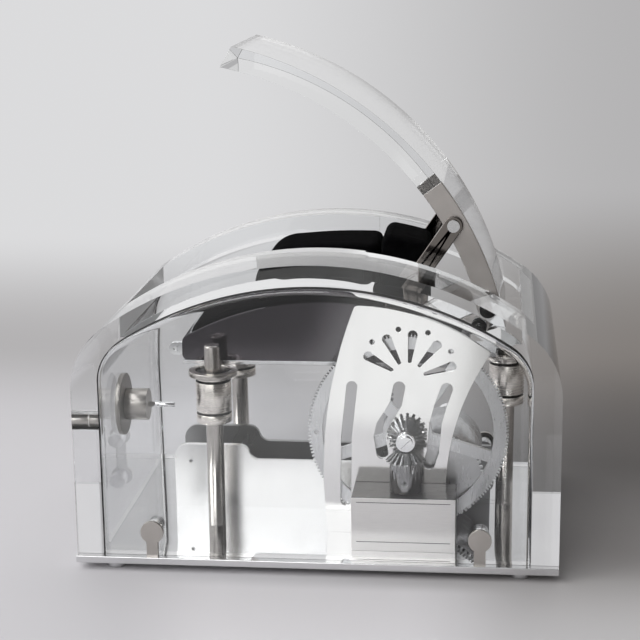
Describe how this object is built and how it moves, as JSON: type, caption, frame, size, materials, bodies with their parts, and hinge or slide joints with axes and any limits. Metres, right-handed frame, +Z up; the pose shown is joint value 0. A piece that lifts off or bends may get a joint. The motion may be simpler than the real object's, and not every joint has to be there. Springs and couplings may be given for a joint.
{
  "type": "wind-up watch display box",
  "caption": "Clear arched display box with a clockwork lift that raises a lined watch tray and swings the curved lid open.",
  "frame": {"origin": "centre of the footprint, on the surface the feet stand on", "axes": "+X to the right seen from the front, +Y to the rear, +Z up; the lid is open and the tray raised at rest"},
  "size_m": [0.23, 0.164, 0.245],
  "materials": {
    "base_plate": "polished",
    "base_feet": "satin",
    "crystal_body": "clear",
    "front_panel": "clear",
    "rear_panel": "clear",
    "panel_clips": "satin",
    "panel_studs": "satin",
    "hinge_pins": "polished",
    "guide_columns": "polished",
    "column_screws": "satin",
    "front_bridge": "mirror polished",
    "arbor_cock": "polished",
    "front_bearing_plate": "mirror polished",
    "rear_bearing_plate": "polished",
    "plate_pillars": "satin",
    "plate_screws": "satin",
    "governor_block": "brushed",
    "nameplate": "satin",
    "button_sleeve": "satin",
    "button_flange": "satin",
    "click": "satin",
    "click_spring": "satin",
    "lid_crystal": "clear",
    "lid_arm_front": "brushed",
    "lid_arm_rear": "brushed",
    "link_screws": "polished",
    "lift_link_front": "polished",
    "lift_link_rear": "polished",
    "carriage_plate": "satin",
    "bushing_flanges": "polished",
    "linear_bushings": "polished",
    "tray_shell": "polished",
    "tray_lining": "suede",
    "watch_cushion": "suede",
    "cushion_rest": "suede",
    "tray_link_pins": "polished",
    "lift_rack": "satin",
    "catch_lug": "polished",
    "great_wheel": "brushed",
    "wheel_arbor": "polished",
    "train_pinion": "satin",
    "rack_pinion": "satin",
    "front_mitre_gear": "polished",
    "mitre_washer": "polished",
    "mitre_screw": "polished",
    "lower_mitre_gear": "polished",
    "mitre_set_screw": "dark",
    "governor_shaft": "satin",
    "fly_arbor": "satin",
    "fly_blades": "polished",
    "barrel_gear": "satin",
    "barrel_drum": "brushed",
    "winding_arbor": "satin",
    "ratchet_wheel": "satin",
    "mainspring": "blued",
    "push_button": "polished",
    "button_hub": "satin",
    "release_rod": "polished",
    "button_spring": "satin"
  },
  "bodies": {
    "case": {"base_plate": "base_plate", "base_feet": "base_feet", "crystal_body": "crystal_body", "front_panel": "front_panel", "rear_panel": "rear_panel", "panel_clips": "panel_clips", "panel_studs": "panel_studs", "hinge_pins": "hinge_pins", "guide_columns": "guide_columns", "column_screws": "column_screws", "front_bridge": "front_bridge", "arbor_cock": "arbor_cock", "front_bearing_plate": "front_bearing_plate", "rear_bearing_plate": "rear_bearing_plate", "plate_pillars": "plate_pillars", "plate_screws": "plate_screws", "governor_block": "governor_block", "nameplate": "nameplate", "button_sleeve": "button_sleeve", "button_flange": "button_flange", "click": "click", "click_spring": "click_spring", "button_spring": "button_spring"},
    "lid": {"lid_crystal": "lid_crystal", "lid_arm_front": "lid_arm_front", "lid_arm_rear": "lid_arm_rear", "link_screws": "link_screws"},
    "links": {"lift_link_front": "lift_link_front", "lift_link_rear": "lift_link_rear"},
    "tray": {"carriage_plate": "carriage_plate", "bushing_flanges": "bushing_flanges", "linear_bushings": "linear_bushings", "tray_shell": "tray_shell", "tray_lining": "tray_lining", "watch_cushion": "watch_cushion", "cushion_rest": "cushion_rest", "tray_link_pins": "tray_link_pins", "lift_rack": "lift_rack", "catch_lug": "catch_lug"},
    "wheel": {"great_wheel": "great_wheel", "wheel_arbor": "wheel_arbor", "train_pinion": "train_pinion", "rack_pinion": "rack_pinion", "front_mitre_gear": "front_mitre_gear", "mitre_washer": "mitre_washer", "mitre_screw": "mitre_screw"},
    "governor": {"lower_mitre_gear": "lower_mitre_gear", "mitre_set_screw": "mitre_set_screw", "governor_shaft": "governor_shaft"},
    "fly": {"fly_arbor": "fly_arbor", "fly_blades": "fly_blades"},
    "barrel": {"barrel_gear": "barrel_gear", "barrel_drum": "barrel_drum"},
    "winding": {"winding_arbor": "winding_arbor", "ratchet_wheel": "ratchet_wheel", "mainspring": "mainspring"},
    "button": {"push_button": "push_button", "button_hub": "button_hub", "release_rod": "release_rod"}
  },
  "joints": [
    {"name": "tray_lift", "type": "slide", "parent": "case", "child": "tray", "axis": [0, 0, 1], "range_m": [-0.0317, 0]},
    {"name": "lid_hinge", "type": "hinge", "parent": "case", "child": "lid", "pos_m": [0.0803, 0.012, 0.12354], "axis": [0, 1, 0], "range_deg": [-45.1, 0]},
    {"name": "link_swing", "type": "hinge", "parent": "lid", "child": "links", "pos_m": [0.0634, 0.012, 0.16004], "axis": [0, 1, 0], "range_deg": [0, 23.2]},
    {"name": "wheel_turn", "type": "hinge", "parent": "case", "child": "wheel", "pos_m": [0.0418, -0.03, 0.0584], "axis": [0, 1, 0], "range_deg": [-227.2, 0]},
    {"name": "barrel_turn", "type": "hinge", "parent": "case", "child": "barrel", "pos_m": [0.0579, 0, 0.03452], "axis": [0, 1, 0], "range_deg": [0, 87.5]},
    {"name": "governor_turn", "type": "hinge", "parent": "case", "child": "governor", "pos_m": [0.0418, -0.0498, 0.03], "axis": [0, 0, 1], "range_deg": [-227.2, 0]},
    {"name": "fly_spin", "type": "hinge", "parent": "case", "child": "fly", "pos_m": [0.049, -0.0498, 0.02], "axis": [0, 0, 1], "range_deg": [0, 795]},
    {"name": "winding_turn", "type": "hinge", "parent": "case", "child": "winding", "pos_m": [0.0579, 0, 0.03452], "axis": [0, 1, 0], "range_deg": [-1440, 0]},
    {"name": "button_press", "type": "slide", "parent": "case", "child": "button", "axis": [1, 0, 0], "range_m": [0, 0.003], "deforming": ["button_spring"]}
  ],
  "couplings": [
    {"joint": "lid_hinge", "follows": "tray_lift", "rad_per_m": 24.77},
    {"joint": "link_swing", "follows": "tray_lift", "rad_per_m": -12.75},
    {"joint": "wheel_turn", "follows": "tray_lift", "rad_per_m": 125},
    {"joint": "barrel_turn", "follows": "tray_lift", "rad_per_m": -48.077},
    {"joint": "governor_turn", "follows": "tray_lift", "rad_per_m": 125},
    {"joint": "fly_spin", "follows": "tray_lift", "rad_per_m": -437.5}
  ]
}
